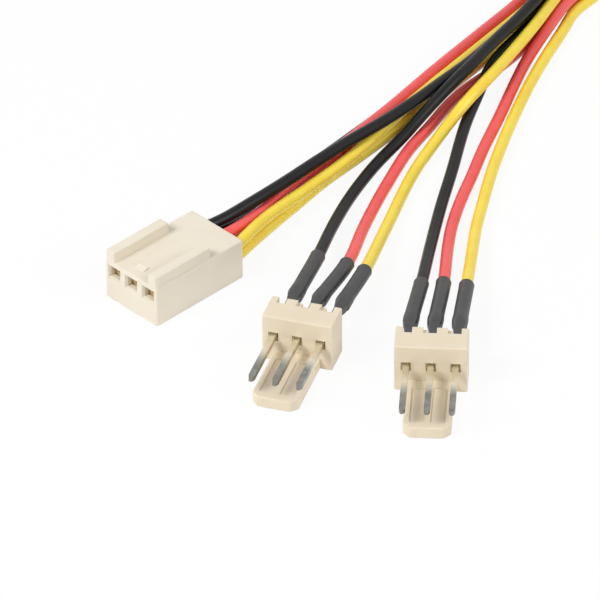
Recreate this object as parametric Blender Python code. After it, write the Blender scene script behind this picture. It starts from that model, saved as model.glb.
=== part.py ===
"""Fan power cable: one 3-way socket wired to two 3-way plugs, lying on a table.

Sizes below are in millimetres and UNIT turns them into metres. The origin is the middle of the socket's
underside, +Z is up and plug B points along -Y.
"""

import math

import bmesh
import bpy
import numpy as np
from mathutils import Matrix

UNIT = 0.001

# Contacts
PITCH = 2.54
PIN_SIDE = 0.64
PIN_TIP_SIDE = 0.30
PIN_TIP_LENGTH = 0.55
PIN_REACH = 7.84
PIN_TAIL = 2.98
PIN_BUTT_LENGTH = 0.25
PIN_BUTT_SIDE = 0.40
PIN_FIT = 0.04
LANE = {"black": -1, "red": 0, "yellow": 1}

# Socket housing
SOCKET_POSE = (0.0, 0.0, -41.86)
SOCKET_WIDTH = 7.70
SOCKET_LENGTH = 12.40
SOCKET_HEIGHT = 4.80
SOCKET_EDGE = 0.16
RIB_HEIGHT = 1.30
RIB_LENGTH = 7.80
RIB_GAP = 5.10
RIB_INSET = 0.12
RIB_SET_BACK = 0.01
RIB_ROOT = 0.60
RIB_EDGE = 0.11
MOUTH_WIDTH = 1.50
MOUTH_HEIGHT = 1.35
MOUTH_DROP = 1.33
MOUTH_LEVEL = SOCKET_HEIGHT - MOUTH_DROP
MOUTH_FLARE = 0.17
FLARE_DEPTH = 0.30
FRONT_WALL = 0.75
CELL_SIDE = 1.76
CELL_SPARE = 0.20
LATCH_SLOT = (1.00, 2.10)
LATCH_SLOT_FROM_FRONT = 2.60
KEY_BUMP = (1.30, 0.70, 0.20)
KEY_BUMP_TOE = 0.02
KEY_BUMP_CREST = 0.12
KEY_BUMP_SINK = 0.20
KEY_BUMP_FROM_FRONT = 1.10

# Socket contacts
CONTACT_WIDTH = 1.34
CONTACT_HEIGHT = 1.26
CONTACT_BORE = 0.84
CONTACT_LENGTH = 5.20
CONTACT_SET_BACK = 0.22
CONTACT_BACK = 0.40
CRIMP_WIDTH = 0.90
CRIMP_EDGE = 0.12
CRIMP_BEHIND = 0.30
CRIMP_JOIN = 0.25

# Wires
WIRE_DIAMETER = 1.30
WIRE_DROP = 1.75
WIRE_UPPER = SOCKET_HEIGHT - WIRE_DROP
WIRE_STACK = 1.40
WIRE_LOWER = WIRE_UPPER - WIRE_STACK
WIRE_FIT = 0.20
WIRE_INSET = 2.90
WAY_OVERLAP = 0.60
SEAT_GAP = 0.28

# Plug housings
PLUG_A_POSE = (13.63, -12.83, -13.65)
PLUG_B_POSE = (27.57, -16.60, 0.0)
PLUG_WIDTH = 7.54
PLUG_DEPTH = 3.62
PLUG_HEIGHT = 5.52
PLUG_EDGE = 0.14
PIN_LEVEL = 3.05
RECESS_SIDE = 1.06
RECESS_DEPTH = 0.35
NOTCH_WIDTH = 0.95
NOTCH_FLOOR = 4.66
NOTCH_DEPTH = 1.05
STEP_WIDTH = 0.46
STEP_FLOOR = 5.12
TONGUE_WIDTH = 4.96
TONGUE_REACH = 8.00
TONGUE_THICKNESS = 1.33
TONGUE_CORNER = 0.75
TONGUE_EDGE = 0.12
TONGUE_ROOT = 0.80
TONGUE_RIM = 0.62
TONGUE_DISH = 0.16
TONGUE_SPINE = 0.60
DISH_FROM_TIP = 0.97
DISH_TO_BODY = 1.30
DISH_EDGE = 0.10

# Heat-shrink sleeves over the soldered tails
SLEEVE_OFFSET = 0.30
SLEEVE_WALL = 0.10
SLEEVE_BULGE = 0.06
SLEEVE_FIT = 0.05
NECK_WALL = 0.12
NECK_RELEASE = 0.50
FUNNEL_START = 0.20
FUNNEL_STEP = 0.14
FUNNEL_END = 0.90
BULGE_PLACE = 1.70
BULGE_END = 2.70
BORE_START = 0.30
BORE_STEP = 0.06
BORE_END = 1.20
LIP_LENGTH = 0.50
LIP_CREST = 0.20
LIP = 0.02
JOINT_LENGTH = 1.50
JOINT_RADIUS = 0.40
JOINT_GAP = 0.14

# How far a cut runs past the face that it opens
CUT_SPARE = 0.20

# Smoothing of the strands' routes, and how far their plain solids may leave them
ROUTE_STEP = 0.35
FINE_STEP = 0.20
EASED_OVER = 4
TAIL_LEAD = 0.60
TAIL_SEAT = 0.80
FRAME_REACH = 0.20
ROUND_SIDES = 12
JOINT_SIDES = 8
SAG = 0.035
LONGEST_SPAN = 4.0

# The socket strands' middle line on the table from the socket to the neck, then the loop beyond the neck and
# back down to it. Lanes lie beside this line, so the strands stay parallel.
STRAND_LINE = (
    (8.2, 12.6), (10.6, 16.1), (13.2, 19.8), (15.8, 23.3), (18.7, 27.4), (21.6, 31.6), (24.1, 35.6),
    (26.5, 39.4), (28.9, 43.2), (31.3, 47.0), (33.7, 50.8), (35.9, 54.8), (37.5, 58.4), (37.3, 62.8),
    (34.9, 66.8), (30.4, 69.4), (23.0, 70.0), (13.6, 69.8), (4.8, 73.0), (-1.8, 80.4), (-3.6, 90.0),
    (0.4, 99.4), (8.0, 105.6), (17.0, 107.6), (25.8, 106.0), (33.2, 101.6), (38.8, 95.2), (42.8, 87.6),
    (45.0, 79.6), (45.5, 71.8), (44.4, 64.4), (41.6, 58.0), (38.4, 53.3),
)
NECK = 11

# Heights of a strand's middle: on the table, on two others, on those, and on top of all
GROUND, SECOND, THIRD, FOURTH = 0.66, 1.87, 3.08, 4.33

# Each strand's way out of the socket, in the socket's frame: (x, distance behind the rear face, height)
FROM_SOCKET = {
    "black_a": ((-2.30, 0.8, 3.05), (-1.95, 2.2, 3.12), (-1.87, 5.0, 3.26)),
    "black_b": ((-2.50, 0.8, 1.65), (-2.35, 2.2, 1.60), (-2.15, 5.0, 1.20)),
    "red_b": ((0.05, 0.8, 3.05), (0.00, 2.2, 2.90), (-0.60, 5.0, 2.38)),
    "red_a": ((0.00, 0.8, 1.65), (-0.05, 2.2, 1.50), (-0.55, 5.0, 0.95)),
    "yellow_b": ((2.30, 0.8, 3.05), (1.90, 2.2, 3.05), (0.88, 5.0, 2.75)),
    "yellow_a": ((2.30, 0.8, 1.65), (1.85, 2.2, 1.62), (1.00, 5.0, 1.30)),
}

# Each strand's lane: (station along the line, distance to its right, height)
LANES = {
    "black_b": (
        (-11, -0.7, 0.8), (-10, -1.3, GROUND), (-9, -1.45, GROUND), (2, -1.45, GROUND), (3, -2.2, GROUND),
        (4, -3.0, GROUND), (13, -3.0, GROUND), (13.4, -2.9, 1.5), (13.7, -2.2, 2.1), (14, -1.6, 2.15),
        (14.8, 0, 2.15), (15.1, 0.8, 2.0), (15.5, 1.5, 1.0), (15.7, 1.5, GROUND), (18.6, 1.5, GROUND),
        (19, 1.45, GROUND), (19.5, 1.25, 1.3), (20, 0.73, SECOND), (21, 0.73, SECOND),
    ),
    "red_b": (
        (-11, 0.8, 2.0), (-10, 0.2, 2.02), (-9, 0.0, 2.02), (-8, 0.0, 2.02), (-7, -0.2, 2.0),
        (-6, -0.45, 1.95), (-5, -0.65, SECOND), (-4, -0.73, SECOND), (2, -0.73, SECOND), (2.5, -0.9, 1.8),
        (3, -1.1, 1.62), (4, -1.5, GROUND), (18, -1.5, GROUND), (18.5, -1.35, 1.3), (19, -0.8, SECOND),
        (20, -0.73, SECOND), (21, -0.73, SECOND),
    ),
    "red_a": ((-11, 0.7, GROUND), (-10, 0.1, GROUND), (-9, 0, GROUND), (21, 0, GROUND)),
    "yellow_b": (
        (-11, 2.25, 2.35), (-10, 2.2, 2.05), (-9, 2.2, 1.98), (-8, 2.0, 2.0), (-7, 1.5, 2.05), (-6, 0.9, 2.0),
        (-5, 0.73, SECOND), (2, 0.73, SECOND), (2.5, 0.9, 1.8),
        (3, 1.1, 1.62), (4, 1.5, GROUND), (10, 1.5, GROUND), (10.3, 1.4, 1.5), (10.6, 0.7, 2.1),
        (11, 0, 2.15), (11.6, -1.5, 2.15), (12.3, -3.0, 2.15), (12.6, -3.7, 2.1), (13, -4.4, 1.4),
        (13.4, -4.5, GROUND), (15.7, -4.5, GROUND), (16.6, -3.0, GROUND), (18, -3.0, GROUND),
        (18.5, -2.7, GROUND), (19, -1.6, GROUND), (20, -1.45, GROUND), (21, -1.45, GROUND),
    ),
    "yellow_a": (
        (-11, 2.2, 0.9), (-10, 1.8, GROUND), (-9, 1.45, GROUND), (2, 1.45, GROUND), (3, 2.2, GROUND),
        (4, 3.0, GROUND), (17, 3.0, GROUND), (17.6, 2.9, 1.7), (18, 2.2, 2.0), (18.4, 1.5, 2.15),
        (19, 0.8, 2.0), (19.5, 0.6, 2.65), (20, 0, THIRD), (21, 0, THIRD),
    ),
    "black_a": (
        (-11, 0.5, 3.42), (-10, 0.85, 3.42), (-9, 1.05, 3.4), (-8, 1.25, 3.4), (-7, 1.85, 3.4),
        (-6, 2.1, 3.3), (-5, 2.3, 3.2), (-4, 2.5, 3.1), (-3, 2.4, THIRD), (-2, 2.1, THIRD), (-1, 1.8, THIRD),
        (0, 1.6, THIRD), (1, 1.45, THIRD), (1.5, 2.1, 2.6), (2, 2.7, 1.7), (3, 4.2, GROUND),
        (4, 6.0, GROUND), (5, 7.0, GROUND), (6.5, 6.0, GROUND), (8, 4.5, GROUND), (17.5, 4.5, GROUND),
        (18, 4.2, 1.2), (18.5, 3.3, 2.4), (19, 2.3, 3.0), (20, 0.73, FOURTH), (21, 0.73, FOURTH),
    ),
}

# From the neck to each strand's sleeve, whose upper end is the last point
TO_PLUG = {
    "black_a": (
        (34.0, 45.7, 4.34), (31.5, 41.0, 4.35), (29.2, 36.3, 4.35), (28.0, 34.4, 4.1), (26.8, 32.8, 3.6),
        (25.6, 31.2, 3.0), (24.4, 29.6, 2.4), (23.2, 27.8, 1.8), (22.0, 25.9, 1.3), (20.2, 23.3, 0.75),
        (18.6, 19.7, 0.66), (17.1, 15.3, 0.8), (15.7, 9.1, 1.4), (14.8, 3.3, 2.3),
    ),
    "red_a": (
        (36.6, 49.2, 0.66), (34.0, 44.5, 0.66), (31.5, 40.6, 0.66), (29.2, 37.7, 0.66), (28.0, 35.9, 0.66),
        (26.8, 33.8, 0.66), (25.8, 31.4, 0.66), (24.6, 28.6, 0.66), (23.1, 25.4, 0.66), (21.4, 19.9, 0.66),
        (20.1, 15.0, 0.75), (19.0, 9.5, 1.2), (17.9, 1.9, 2.3),
    ),
    "yellow_a": (
        (35.9, 46.8, 3.1), (34.1, 42.4, 3.1), (31.7, 36.8, 3.2), (30.3, 33.9, 3.2), (29.4, 32.3, 3.0),
        (28.5, 31.3, 2.4), (26.9, 28.6, 1.5), (25.4, 25.4, 0.9), (24.0, 21.8, 0.66), (22.8, 17.1, 0.66),
        (21.8, 12.2, 0.8), (21.0, 7.8, 1.3), (19.8, 0.9, 2.3),
    ),
    "black_b": (
        (35.8, 49.2, 1.87), (34.0, 45.9, 1.9), (32.7, 43.2, 1.95), (31.5, 40.5, 2.1), (30.7, 37.9, 2.0),
        (30.1, 35.4, 1.5), (29.4, 32.7, 1.1), (28.8, 29.9, 0.8), (28.3, 26.0, 0.66), (27.8, 21.3, 0.66),
        (27.1, 16.0, 0.66), (26.6, 11.1, 0.8), (26.2, 5.8, 1.3), (25.8, -1.2, 2.4),
    ),
    "red_b": (
        (37.7, 49.5, 1.85), (36.3, 46.0, 1.5), (34.9, 42.7, 0.8), (33.6, 37.5, 0.66), (32.4, 31.9, 0.66),
        (30.9, 25.6, 0.66), (30.0, 20.8, 0.66), (29.0, 16.1, 0.66), (28.3, 11.2, 0.8), (28.1, 5.9, 1.3),
        (28.1, -0.7, 2.3),
    ),
    "yellow_b": (
        (38.8, 49.4, 0.66), (37.0, 43.9, 0.66), (35.3, 37.9, 0.66), (33.9, 31.8, 0.66), (32.8, 26.2, 0.66),
        (31.9, 20.6, 0.66), (31.4, 16.2, 0.66), (30.9, 11.4, 0.8), (30.7, 6.1, 1.3), (30.5, -1.1, 2.3),
    ),
}
UPPER_STRANDS = {"black_a", "red_b", "yellow_b"}

# Colour, roughness, metallic
LOOKS = {
    "cream_nylon": ((0.80, 0.74, 0.63, 1), 0.42, 0.0),
    "tinned_brass": ((0.62, 0.60, 0.54, 1), 0.28, 1.0),
    "contact_brass": ((0.78, 0.58, 0.26, 1), 0.32, 1.0),
    "solder": ((0.60, 0.60, 0.60, 1), 0.35, 1.0),
    "shrink_black": ((0.020, 0.017, 0.015, 1), 0.48, 0.0),
    "insulation_black": ((0.010, 0.010, 0.011, 1), 0.28, 0.0),
    "insulation_red": ((0.80, 0.065, 0.075, 1), 0.38, 0.0),
    "insulation_yellow": ((0.95, 0.66, 0.03, 1), 0.38, 0.0),
}


def clear_scene():
    for obj in list(bpy.data.objects):
        bpy.data.objects.remove(obj, do_unlink=True)


def material(name):
    """A new Principled material for one object, after one of the looks."""
    colour, roughness, metallic = LOOKS[name]
    made = bpy.data.materials.new(name)
    made.use_nodes = True
    shader = made.node_tree.nodes["Principled BSDF"]
    shader.inputs["Base Color"].default_value = colour
    shader.inputs["Roughness"].default_value = roughness
    shader.inputs["Metallic"].default_value = metallic
    made.diffuse_color = colour
    return made


def mesh_object(name, bm):
    """An object at millimetre scale, for further cuts, or for finish()."""
    bmesh.ops.recalc_face_normals(bm, faces=bm.faces)
    mesh = bpy.data.meshes.new(name)
    bm.to_mesh(mesh)
    bm.free()
    made = bpy.data.objects.new(name, mesh)
    bpy.context.scene.collection.objects.link(made)
    return made


def finish(obj, look, parent=None):
    obj.data.transform(Matrix.Scale(UNIT, 4))
    obj.data.materials.clear()
    obj.data.materials.append(material(look))
    obj.parent = parent
    return obj


def box(name, x, y, z, edge=0.0):
    """A box between the given pairs, with its edges rounded where edge is set."""
    bm = bmesh.new()
    bmesh.ops.create_cube(bm, size=1.0)
    for vert in bm.verts:
        for axis, (low, high) in enumerate((x, y, z)):
            vert.co[axis] = low if vert.co[axis] < 0 else high
    if edge:
        bmesh.ops.bevel(bm, geom=bm.edges[:], offset=edge, segments=2, profile=0.5, affect="EDGES")
    return mesh_object(name, bm)


def tapered_bar(name, sections):
    """A bar of rectangular sections along Y: (y, half width, half height, x, z)."""
    bm = bmesh.new()
    rings = []
    for y, half_x, half_z, x, z in sections:
        corners = ((-1, -1), (1, -1), (1, 1), (-1, 1))
        rings.append([bm.verts.new((x + half_x * i, y, z + half_z * k)) for i, k in corners])
    for first, second in zip(rings, rings[1:]):
        for i in range(4):
            bm.faces.new((first[i], first[(i + 1) % 4], second[(i + 1) % 4], second[i]))
    bm.faces.new(rings[0])
    bm.faces.new(rings[-1][::-1])
    return mesh_object(name, bm)


def prism(name, outline, z, edge=0.0):
    """An upright prism over an outline of (x, y) points, its level edges rounded where edge is set."""
    bm = bmesh.new()
    low, high = ([bm.verts.new((x, y, level)) for x, y in outline] for level in z)
    for i in range(len(outline)):
        j = (i + 1) % len(outline)
        bm.faces.new((low[i], low[j], high[j], high[i]))
    bm.faces.new(low[::-1])
    bm.faces.new(high)
    if edge:
        bmesh.ops.bevel(bm, geom=bm.edges[:], offset=edge, segments=2, profile=0.5, affect="EDGES")
    return mesh_object(name, bm)


def combine(body, others, operation):
    """Joins the others to the body, or cuts them out of it."""
    for other in others:
        modifier = body.modifiers.new(operation, "BOOLEAN")
        modifier.operation = operation
        modifier.object = other
        modifier.solver = "EXACT"
        graph = bpy.context.evaluated_depsgraph_get()
        mesh = bpy.data.meshes.new_from_object(body.evaluated_get(graph))
        body.modifiers.clear()
        body.data = mesh
        bpy.data.objects.remove(other, do_unlink=True)
    return body


def empty_at(name, pose):
    x, y, yaw = pose
    made = bpy.data.objects.new(name, None)
    made.location = (x * UNIT, y * UNIT, 0)
    made.rotation_euler = (0, 0, math.radians(yaw))
    made.empty_display_size = 5 * UNIT
    bpy.context.scene.collection.objects.link(made)
    return made


def in_world(pose, x, y, z):
    px, py, yaw = pose[0], pose[1], math.radians(pose[2])
    return (px + x * math.cos(yaw) - y * math.sin(yaw), py + x * math.sin(yaw) + y * math.cos(yaw), z)


def socket_housing(parent):
    half, front = SOCKET_WIDTH / 2, -SOCKET_LENGTH / 2
    rear = -front
    body = box("socket_housing", (-half, half), (front, rear), (0, SOCKET_HEIGHT), SOCKET_EDGE)
    ribs = []
    for side in (-1, 1):
        inner, outer = RIB_GAP / 2, half - RIB_INSET
        x = sorted((side * inner, side * outer))
        y = (front + RIB_SET_BACK, front + RIB_LENGTH)
        ribs.append(box("rib", x, y, (SOCKET_HEIGHT - RIB_ROOT, SOCKET_HEIGHT + RIB_HEIGHT), RIB_EDGE))
    wide, deep, rise = KEY_BUMP
    toe = front + KEY_BUMP_FROM_FRONT
    sections = []
    for y, top in ((toe, KEY_BUMP_TOE), (toe + deep, rise), (toe + deep + KEY_BUMP_CREST, rise)):
        half_height = (top + KEY_BUMP_SINK) / 2
        sections.append((y, wide / 2, half_height, 0, SOCKET_HEIGHT + top - half_height))
    ribs.append(tapered_bar("bump", sections))
    combine(body, ribs, "UNION")
    cuts = []
    cell_front = front + FRONT_WALL
    cell_rear = cell_front + CONTACT_SET_BACK + CONTACT_LENGTH + CELL_SPARE
    wire_half = WIRE_DIAMETER / 2 + WIRE_FIT
    for lane in LANE.values():
        x = lane * PITCH
        wide, high = MOUTH_WIDTH / 2, MOUTH_HEIGHT / 2
        flare = MOUTH_FLARE * (1 + CUT_SPARE / FLARE_DEPTH)
        sections = (
            (front - CUT_SPARE, wide + flare, high + flare, x, MOUTH_LEVEL),
            (front + FLARE_DEPTH, wide, high, x, MOUTH_LEVEL),
            (cell_front + CUT_SPARE, wide, high, x, MOUTH_LEVEL),
        )
        cuts.append(tapered_bar("mouth", sections))
        cell = (x - CELL_SIDE / 2, x + CELL_SIDE / 2)
        level = (MOUTH_LEVEL - CELL_SIDE / 2, MOUTH_LEVEL + CELL_SIDE / 2)
        cuts.append(box("cell", cell, (cell_front, cell_rear), level))
        way = (x - wire_half, x + wire_half)
        level = (WIRE_LOWER - wire_half, WIRE_UPPER + wire_half)
        cuts.append(box("way", way, (cell_rear - WAY_OVERLAP, rear + CUT_SPARE), level))
        slot_width, slot_length = LATCH_SLOT
        slot = (front + LATCH_SLOT_FROM_FRONT, front + LATCH_SLOT_FROM_FRONT + slot_length)
        cuts.append(box("slot", (x - slot_width / 2, x + slot_width / 2), slot, (-CUT_SPARE, MOUTH_LEVEL)))
    combine(body, cuts, "DIFFERENCE")
    return finish(body, "cream_nylon", parent)


def socket_terminal(colour, parent):
    """A box contact that a pin slides into, with the crimp that holds both conductors behind it."""
    x = LANE[colour] * PITCH
    front = -SOCKET_LENGTH / 2 + FRONT_WALL + CONTACT_SET_BACK
    rear = front + CONTACT_LENGTH
    half, high = CONTACT_WIDTH / 2, CONTACT_HEIGHT / 2
    low, top = MOUTH_LEVEL - high, MOUTH_LEVEL + high
    body = box(f"socket_terminal_{colour}", (x - half, x + half), (front, rear), (low, top))
    crimp_x = (x - CRIMP_WIDTH / 2, x + CRIMP_WIDTH / 2)
    crimp_top = WIRE_UPPER + CRIMP_WIDTH / 2
    crimp_low = WIRE_LOWER - CRIMP_WIDTH / 2
    crimp_front = rear + CRIMP_BEHIND
    crimp_rear = SOCKET_LENGTH / 2 - WIRE_INSET - SEAT_GAP
    neck = box("neck", crimp_x, (rear - CRIMP_JOIN, crimp_front + CRIMP_JOIN), (low, crimp_top))
    crimp = box("crimp", crimp_x, (crimp_front, crimp_rear), (crimp_low, crimp_top), CRIMP_EDGE)
    combine(body, [neck, crimp], "UNION")
    bore = CONTACT_BORE / 2
    level = (MOUTH_LEVEL - bore, MOUTH_LEVEL + bore)
    hole = box("bore", (x - bore, x + bore), (front - CUT_SPARE, rear - CONTACT_BACK), level)
    combine(body, [hole], "DIFFERENCE")
    return finish(body, "contact_brass", parent)


def plug_housing(name, parent):
    half = PLUG_WIDTH / 2
    body = box(f"{name}_housing", (-half, half), (0, PLUG_DEPTH), (0, PLUG_HEIGHT), PLUG_EDGE)
    wide, corner = TONGUE_WIDTH / 2, TONGUE_CORNER
    outline = (
        (-wide + corner, -TONGUE_REACH), (wide - corner, -TONGUE_REACH), (wide, -TONGUE_REACH + corner),
        (wide, TONGUE_ROOT), (-wide, TONGUE_ROOT), (-wide, -TONGUE_REACH + corner),
    )
    tongue = prism("tongue", outline, (0, TONGUE_THICKNESS), TONGUE_EDGE)
    combine(body, [tongue], "UNION")
    cuts = []
    pin_half = PIN_SIDE / 2 + PIN_FIT
    for lane in LANE.values():
        x = lane * PITCH
        level = (PIN_LEVEL - pin_half, PIN_LEVEL + pin_half)
        through = (-CUT_SPARE, PLUG_DEPTH + CUT_SPARE)
        cuts.append(box("pin hole", (x - pin_half, x + pin_half), through, level))
        side = RECESS_SIDE / 2
        level = (PIN_LEVEL - side, PIN_LEVEL + side)
        cuts.append(box("recess", (x - side, x + side), (-CUT_SPARE, RECESS_DEPTH), level))
        notch = (x - NOTCH_WIDTH / 2, x + NOTCH_WIDTH / 2)
        rear = (PLUG_DEPTH - NOTCH_DEPTH, PLUG_DEPTH + CUT_SPARE)
        cuts.append(box("notch", notch, rear, (NOTCH_FLOOR, PLUG_HEIGHT + CUT_SPARE)))
        if lane >= 0:
            step = (notch[0] - STEP_WIDTH, notch[0] + CUT_SPARE)
            cuts.append(box("step", step, rear, (STEP_FLOOR, PLUG_HEIGHT + CUT_SPARE)))
    for side in (-1, 1):
        x = sorted((side * TONGUE_SPINE / 2, side * (TONGUE_WIDTH / 2 - TONGUE_RIM)))
        y = (-TONGUE_REACH + DISH_FROM_TIP, -DISH_TO_BODY)
        level = (TONGUE_THICKNESS - TONGUE_DISH, TONGUE_THICKNESS + CUT_SPARE)
        cuts.append(box("dish", x, y, level, DISH_EDGE))
    combine(body, cuts, "DIFFERENCE")
    return finish(body, "cream_nylon", parent)


def plug_pin(name, colour, parent):
    x, half, tip = LANE[colour] * PITCH, PIN_SIDE / 2, PIN_TIP_SIDE / 2
    end = PLUG_DEPTH + PIN_TAIL
    sections = (
        (-PIN_REACH, tip, tip, x, PIN_LEVEL),
        (-PIN_REACH + PIN_TIP_LENGTH, half, half, x, PIN_LEVEL),
        (end - PIN_BUTT_LENGTH, half, half, x, PIN_LEVEL),
        (end, PIN_BUTT_SIDE / 2, PIN_BUTT_SIDE / 2, x, PIN_LEVEL),
    )
    return finish(tapered_bar(f"{name}_pin_{colour}", sections), "tinned_brass", parent)


def line_at(station):
    """The strand line's place and way at a station, counted from the neck."""
    at = station + NECK
    i = min(max(int(math.floor(at)), 0), len(STRAND_LINE) - 2)
    t = at - i
    picks = [min(max(j, 0), len(STRAND_LINE) - 1) for j in range(i - 1, i + 3)]
    a, b, c, d = (np.array(STRAND_LINE[j]) for j in picks)
    p, q, r = c - a, 2 * a - 5 * b + 4 * c - d, 3 * b - a - 3 * c + d
    way = 0.5 * (p + 2 * q * t + 3 * r * t * t)
    return b + 0.5 * (p * t + q * t * t + r * t**3), way / np.linalg.norm(way)


def lane_points(keys):
    stations, beside, heights = (np.array(column, float) for column in zip(*keys))
    points = []
    for station in np.arange(stations[0], stations[-1] + 0.001, 0.5):
        place, way = line_at(station)
        right = np.interp(station, stations, beside)
        x, y = place[0] + right * way[1], place[1] - right * way[0]
        points.append((x, y, np.interp(station, stations, heights)))
    return points


def smooth_curve(points):
    """A centripetal curve through the points, evenly sampled, with its corners eased."""
    p = np.array(points, float)
    p = np.vstack([2 * p[0] - p[1], p, 2 * p[-1] - p[-2]])
    out = []
    for i in range(1, len(p) - 2):
        quad = p[i - 1 : i + 3]
        t = np.concatenate([[0], np.cumsum(np.sqrt(np.linalg.norm(np.diff(quad, axis=0), axis=1)))])
        count = max(2, math.ceil(np.linalg.norm(quad[2] - quad[1]) / FINE_STEP))
        for x in np.linspace(t[1], t[2], count, endpoint=False):
            rows, gap = list(quad), 1
            while len(rows) > 1:
                # The last blend runs over the middle pair, the others over their own reach
                reach = [(t[k], t[k + gap]) for k in range(len(rows) - 1)]
                if len(rows) == 2:
                    reach = [(t[1], t[2])]
                shares = [(x - a) / (b - a) for a, b in reach]
                rows = [(1 - share) * rows[k] + share * rows[k + 1] for k, share in enumerate(shares)]
                gap += 1
            out.append(rows[0])
    out = np.array([*out, p[-2]])
    half = EASED_OVER
    for again in range(2):
        run = np.concatenate([[0], np.cumsum(np.linalg.norm(np.diff(out, axis=0), axis=1))])
        at = np.linspace(0, run[-1], int(run[-1] / ROUTE_STEP) + 1)
        out = np.stack([np.interp(at, run, out[:, k]) for k in range(3)], axis=1)
        padded = np.vstack([2 * out[0] - out[half:0:-1], out, 2 * out[-1] - out[-2 : -half - 2 : -1]])
        kernel = np.ones(2 * half + 1) / (2 * half + 1)
        out = np.stack([np.convolve(padded[:, k], kernel, "valid") for k in range(3)], axis=1)
    out[:, 2] = np.maximum(out[:, 2], GROUND)
    return out


def run_of(path):
    return np.concatenate([[0], np.cumsum(np.linalg.norm(np.diff(path, axis=0), axis=1))])


def strand_path(strand):
    """The strand's middle from inside the socket to the pin's tail behind its plug's rear face."""
    colour, plug = strand.split("_")
    level = WIRE_UPPER if strand in UPPER_STRANDS else WIRE_LOWER
    x = LANE[colour] * PITCH
    rear = SOCKET_LENGTH / 2
    start = [in_world(SOCKET_POSE, x, y, level) for y in (rear - WIRE_INSET, rear - WIRE_INSET / 2, rear)]
    start += [in_world(SOCKET_POSE, x, rear + behind, z) for x, behind, z in FROM_SOCKET[strand]]
    pose = PLUG_A_POSE if plug == "a" else PLUG_B_POSE
    end = PLUG_DEPTH + PIN_TAIL
    seats = (end + TAIL_LEAD, end - TAIL_SEAT, PLUG_DEPTH + SLEEVE_OFFSET)
    tail = [in_world(pose, x, y, PIN_LEVEL) for y in seats]
    return smooth_curve([*start, *lane_points(LANES[strand]), *TO_PLUG[strand], *tail])


def piece_of(path, first, last):
    """The part of a path between two distances from its far end, the one at the plug."""
    run = run_of(path)[-1] - run_of(path)
    keep = (run < last) & (run > first)
    ends = [[np.interp(-d, -run, path[:, k]) for k in range(3)] for d in (last, first)]
    return np.vstack([ends[0], path[keep], ends[1]])


def thinned(path):
    """Leaves out points where the straight span between its neighbours stays within SAG of the path."""
    run = run_of(path)
    kept = [0]
    while kept[-1] < len(path) - 1:
        i = kept[-1]
        j = i + 1
        while j + 1 < len(path) and run[j + 1] - run[i] <= LONGEST_SPAN:
            chord = path[j + 1] - path[i]
            rest = path[i + 1 : j + 1] - path[i]
            along = np.outer(rest @ chord / (chord @ chord), chord)
            if np.linalg.norm(rest - along, axis=1).max() > SAG:
                break
            j += 1
        kept.append(j)
    return path[kept]


def wire(strand, path):
    curve = bpy.data.curves.new(f"wire_{strand}", "CURVE")
    curve.dimensions = "3D"
    curve.bevel_depth = WIRE_DIAMETER / 2 * UNIT
    curve.bevel_resolution = 2
    curve.use_fill_caps = True
    points = thinned(path) * UNIT
    spline = curve.splines.new("POLY")
    spline.points.add(len(points) - 1)
    for point, place in zip(spline.points, points):
        point.co = (*place, 1)
    made = bpy.data.objects.new(curve.name, curve)
    bpy.context.scene.collection.objects.link(made)
    curve.materials.append(material(f"insulation_{strand.split('_')[0]}"))
    return made


def frames_along(path, distances):
    """Place, side and up at each distance from the path's plug end."""
    run = run_of(path)[-1] - run_of(path)
    places = []
    for d in distances:
        a, b, c = (
            np.array([np.interp(-x, -run, path[:, k]) for k in range(3)])
            for x in (d - FRAME_REACH, d, d + FRAME_REACH)
        )
        way = (c - a) / np.linalg.norm(c - a)
        side = np.cross(way, (0, 0, 1))
        side /= np.linalg.norm(side)
        places.append((b, side, np.cross(side, way)))
    return places


def ring(frame, radius, square, count):
    """A ring of points about a frame: round at square 0, nearly square at 1."""
    place, side, up = frame
    power = 2 / (2 + 5 * square)
    points = []
    for i in range(count):
        angle = 2 * math.pi * (i + 0.5) / count
        c, s = math.cos(angle), math.sin(angle)
        x, y = (math.copysign(abs(v) ** power, v) for v in (c, s))
        points.append(place + radius * (x * side + y * up))
    return points


def swept(name, rings, closed):
    """A body through rings of points: closed joins the last ring to the first, else both ends are capped."""
    bm = bmesh.new()
    made = [[bm.verts.new(p) for p in points] for points in rings]
    pairs = list(zip(made, made[1:] + made[:1] if closed else made[1:]))
    count = len(made[0])
    for first, second in pairs:
        for i in range(count):
            j = (i + 1) % count
            bm.faces.new((first[i], first[j], second[j], second[i]))
    if not closed:
        bm.faces.new(made[0][::-1])
        bm.faces.new(made[-1])
    return mesh_object(name, bm)


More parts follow.
